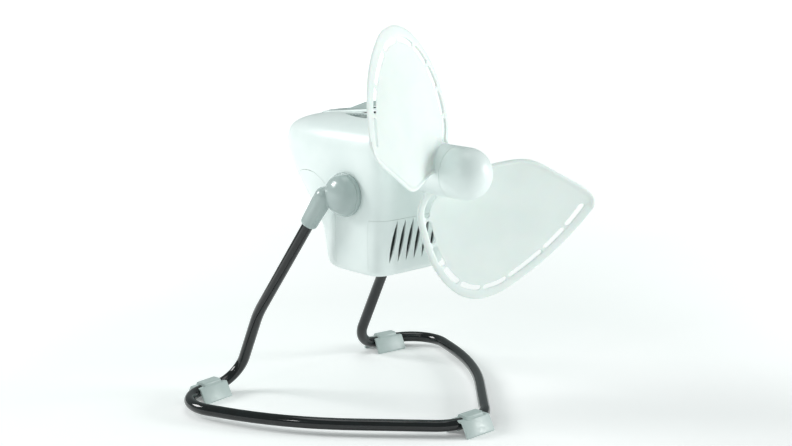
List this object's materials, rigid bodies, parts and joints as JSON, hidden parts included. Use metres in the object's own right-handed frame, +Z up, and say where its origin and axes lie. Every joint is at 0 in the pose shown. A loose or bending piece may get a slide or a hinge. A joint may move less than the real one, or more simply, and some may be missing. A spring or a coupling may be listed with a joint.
{
  "type": "desk fan",
  "caption": "Desk fan with two soft curved blades, a tilting motor housing with rocker switch and vents, on a bent tube loop stand with clip feet.",
  "frame": {"origin": "on the floor, under the middle of the whole fan", "axes": "+Z up, -Y the way the fan blows, +X to the right when looking at the blades from the front"},
  "size_m": [0.2988, 0.2572, 0.3356],
  "materials": {
    "white_plastic": "satin",
    "blade_plastic": "satin",
    "grey_plastic": "gloss",
    "black_enamel": "high gloss",
    "zinc_steel": "zinc plated",
    "lamination_steel": "dull",
    "enamelled_copper": "varnished windings",
    "bronze_bush": "sintered",
    "dark_plastic": "matte"
  },
  "bodies": {
    "stand": {"stand_tube": "black_enamel", "foot_front": "grey_plastic", "foot_rear_left": "grey_plastic", "foot_rear_right": "grey_plastic", "elbow_left": "grey_plastic", "elbow_right": "grey_plastic", "tilt_washer_left": "dark_plastic", "tilt_washer_right": "dark_plastic", "tilt_spring_washer_left": "zinc_steel", "tilt_spring_washer_right": "zinc_steel", "tilt_screw_left": "zinc_steel", "tilt_screw_right": "zinc_steel"},
    "head": {"main_housing": "white_plastic", "rear_cover": "white_plastic", "front_panel": "white_plastic", "switch_bezel": "white_plastic", "switch_body": "dark_plastic", "cord_gland": "dark_plastic", "stator_core": "lamination_steel", "coil_front": "enamelled_copper", "coil_rear": "enamelled_copper", "motor_bracket_front": "zinc_steel", "motor_bracket_rear": "zinc_steel", "bush_front": "bronze_bush", "bush_rear": "bronze_bush", "motor_bolt_1": "zinc_steel", "motor_bolt_2": "zinc_steel"},
    "rotor": {"motor_shaft": "zinc_steel", "rotor_core": "lamination_steel", "thrust_washer_front": "dark_plastic", "thrust_washer_rear": "dark_plastic", "hub_barrel": "white_plastic", "blade_1": "blade_plastic", "blade_2": "blade_plastic", "hub_nut": "zinc_steel", "nose_cap": "white_plastic"},
    "rocker": {"switch_rocker": "grey_plastic"}
  },
  "joints": [
    {"name": "head_tilt", "type": "hinge", "parent": "stand", "child": "head", "pos_m": [0, 0, 0.1915], "axis": [1, 0, 0], "range_deg": [-50, 20]},
    {"name": "rotor_spin", "type": "hinge", "parent": "head", "child": "rotor", "pos_m": [0, 0, 0.216], "axis": [0, -1, 0], "continuous": true},
    {"name": "switch_press", "type": "hinge", "parent": "head", "child": "rocker", "pos_m": [0, 0.03751, 0.25163], "axis": [1, 0, 0], "range_deg": [0, 12]}
  ]
}
